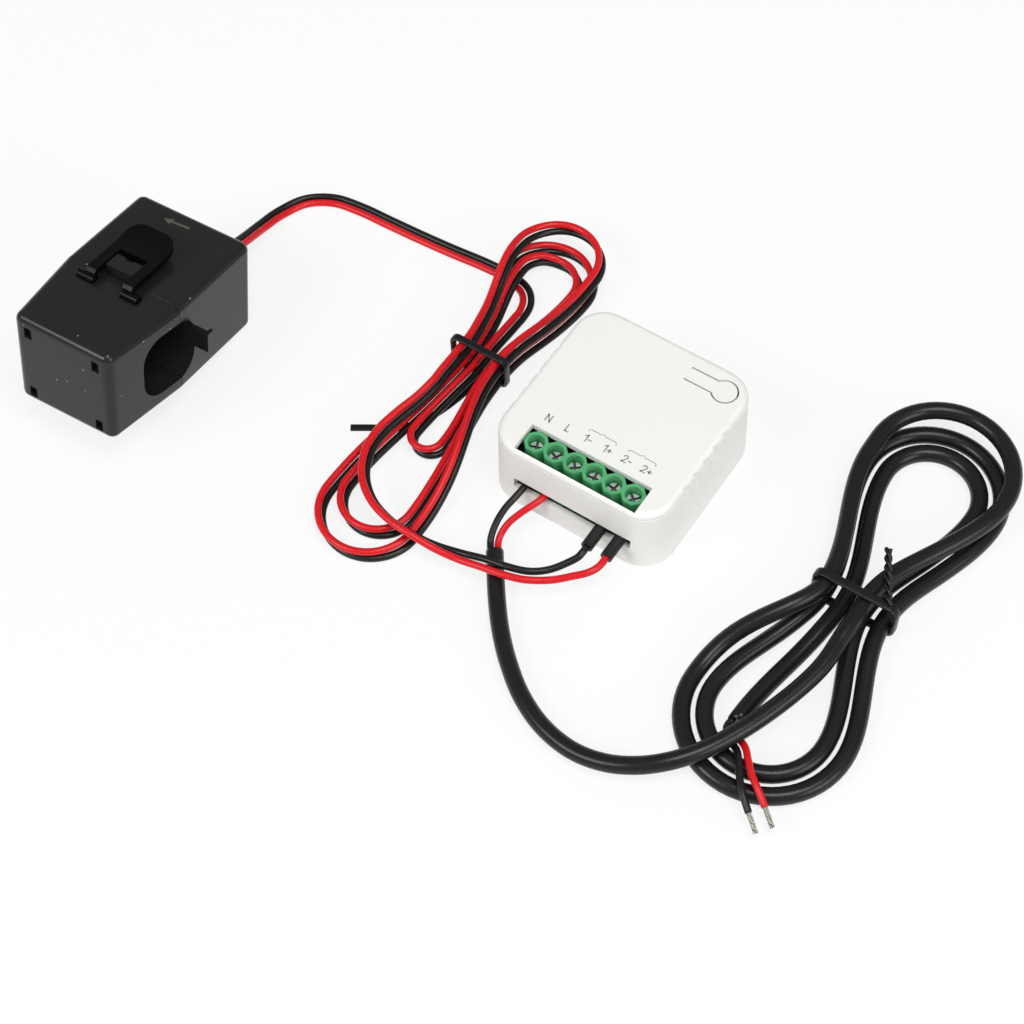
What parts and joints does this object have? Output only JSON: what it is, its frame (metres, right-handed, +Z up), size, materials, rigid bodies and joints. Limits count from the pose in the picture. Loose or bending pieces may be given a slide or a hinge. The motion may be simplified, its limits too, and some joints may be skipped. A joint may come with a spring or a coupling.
{
  "type": "smart energy monitor",
  "caption": "Flush-mount energy meter module with a row of screw terminals, a hinged split-core current clamp on a twin lead and a power lead, both leads wound into tied hanks.",
  "frame": {"origin": "centre of the module's underside, on the surface everything lies on", "axes": "+X along the terminal row away from the clamp, -Y the way the wires leave the terminals, +Z up out of the module's top"},
  "size_m": [0.2068, 0.12, 0.0349],
  "materials": {
    "white_plastic": "fine matte",
    "bobbin_plastic": "matte",
    "terminal_plastic": "satin",
    "board": "satin",
    "nickel": "plated",
    "black_component": "matte",
    "shield_can": "bright",
    "blue_component": "satin",
    "yellow_component": "satin",
    "black_plastic": "satin",
    "ferrite": "ground",
    "copper": "enamelled",
    "red_insulation": "satin",
    "black_insulation": "satin",
    "black_jacket": "satin",
    "tie_plastic": "satin",
    "tinned_copper": "tinned"
  },
  "bodies": {
    "meter": {"top_cover": "white_plastic", "bottom_cover": "white_plastic", "main_board": "board", "terminal_block": "terminal_plastic", "terminal_contacts": "nickel", "switch_body": "black_component", "radio_module": "shield_can", "filter_capacitor": "black_component", "varistor": "blue_component", "metering_chip": "black_component", "converter_transformer": "yellow_component", "clamp_rear_shell": "black_plastic", "latch_catch": "black_plastic", "hinge_pin": "nickel", "rear_core": "ferrite", "coil_bobbin": "bobbin_plastic", "coil_winding": "copper", "sensor_red_clamp_lead": "red_insulation", "sensor_black_clamp_lead": "black_insulation", "sensor_red_hank": "red_insulation", "sensor_black_hank": "black_insulation", "sensor_red_module_lead": "red_insulation", "sensor_black_module_lead": "black_insulation", "sensor_red_sleeve": "black_insulation", "sensor_black_sleeve": "black_insulation", "sensor_tie": "tie_plastic", "power_black_core": "black_insulation", "power_red_core": "red_insulation", "power_lead": "black_jacket", "power_hank": "black_jacket", "power_black_tail": "black_insulation", "power_red_tail": "red_insulation", "power_black_tip": "tinned_copper", "power_red_tip": "tinned_copper", "power_tie": "tie_plastic"},
    "jaw": {"clamp_jaw_shell": "black_plastic", "jaw_core": "ferrite", "core_carrier": "black_plastic"},
    "latch": {"clamp_latch": "black_plastic"},
    "button": {"reset_button": "white_plastic"},
    "plunger": {"switch_plunger": "black_component"},
    "screw_1": {"terminal_screw_1": "nickel"},
    "cage_1": {"terminal_cage_1": "nickel"},
    "screw_2": {"terminal_screw_2": "nickel"},
    "cage_2": {"terminal_cage_2": "nickel"},
    "screw_3": {"terminal_screw_3": "nickel"},
    "cage_3": {"terminal_cage_3": "nickel"},
    "screw_4": {"terminal_screw_4": "nickel"},
    "cage_4": {"terminal_cage_4": "nickel"},
    "screw_5": {"terminal_screw_5": "nickel"},
    "cage_5": {"terminal_cage_5": "nickel"},
    "screw_6": {"terminal_screw_6": "nickel"},
    "cage_6": {"terminal_cage_6": "nickel"}
  },
  "joints": [
    {"name": "jaw_open", "type": "hinge", "parent": "meter", "child": "jaw", "pos_m": [-0.10897, -0.04309, 0.00283], "axis": [0.9986, 0.0523, 0], "range_deg": [0, 60]},
    {"name": "latch_lift", "type": "hinge", "parent": "jaw", "child": "latch", "pos_m": [-0.10911, -0.04046, 0.0316], "axis": [0.9986, 0.0523, 0], "range_deg": [0, 90]},
    {"name": "button_press", "type": "hinge", "parent": "meter", "child": "button", "pos_m": [0.0071, 0.0161, 0.0192], "axis": [0, 1, 0], "range_deg": [0, 3]},
    {"name": "plunger_press", "type": "slide", "parent": "meter", "child": "plunger", "axis": [0, 0, -1], "range_m": [0, 0.00025], "stiffness_N_per_m": 300},
    {"name": "screw_1_turn", "type": "hinge", "parent": "meter", "child": "screw_1", "pos_m": [-0.0119, -0.0169, 0.0155], "axis": [0, 0, 1], "range_deg": [0, 1080]},
    {"name": "cage_1_drop", "type": "slide", "parent": "meter", "child": "cage_1", "axis": [0, 0, -1], "range_m": [0, 0.0018]},
    {"name": "screw_2_turn", "type": "hinge", "parent": "meter", "child": "screw_2", "pos_m": [-0.0069, -0.0169, 0.0155], "axis": [0, 0, 1], "range_deg": [0, 1080]},
    {"name": "cage_2_drop", "type": "slide", "parent": "meter", "child": "cage_2", "axis": [0, 0, -1], "range_m": [0, 0.0018]},
    {"name": "screw_3_turn", "type": "hinge", "parent": "meter", "child": "screw_3", "pos_m": [-0.0019, -0.0169, 0.0155], "axis": [0, 0, 1], "range_deg": [0, 1080]},
    {"name": "cage_3_drop", "type": "slide", "parent": "meter", "child": "cage_3", "axis": [0, 0, -1], "range_m": [0, 0.0018]},
    {"name": "screw_4_turn", "type": "hinge", "parent": "meter", "child": "screw_4", "pos_m": [0.0031, -0.0169, 0.0155], "axis": [0, 0, 1], "range_deg": [0, 1080]},
    {"name": "cage_4_drop", "type": "slide", "parent": "meter", "child": "cage_4", "axis": [0, 0, -1], "range_m": [0, 0.0018]},
    {"name": "screw_5_turn", "type": "hinge", "parent": "meter", "child": "screw_5", "pos_m": [0.0081, -0.0169, 0.0155], "axis": [0, 0, 1], "range_deg": [0, 1080]},
    {"name": "cage_5_drop", "type": "slide", "parent": "meter", "child": "cage_5", "axis": [0, 0, -1], "range_m": [0, 0.0018]},
    {"name": "screw_6_turn", "type": "hinge", "parent": "meter", "child": "screw_6", "pos_m": [0.0131, -0.0169, 0.0155], "axis": [0, 0, 1], "range_deg": [0, 1080]},
    {"name": "cage_6_drop", "type": "slide", "parent": "meter", "child": "cage_6", "axis": [0, 0, -1], "range_m": [0, 0.0018]}
  ],
  "couplings": [
    {"joint": "latch_lift", "follows": "jaw_open", "ratio": 1.5},
    {"joint": "button_press", "follows": "plunger_press", "rad_per_m": 209.4},
    {"joint": "screw_1_turn", "follows": "cage_1_drop", "rad_per_m": 10472},
    {"joint": "screw_2_turn", "follows": "cage_2_drop", "rad_per_m": 10472},
    {"joint": "screw_3_turn", "follows": "cage_3_drop", "rad_per_m": 10472},
    {"joint": "screw_4_turn", "follows": "cage_4_drop", "rad_per_m": 10472},
    {"joint": "screw_5_turn", "follows": "cage_5_drop", "rad_per_m": 10472},
    {"joint": "screw_6_turn", "follows": "cage_6_drop", "rad_per_m": 10472}
  ]
}
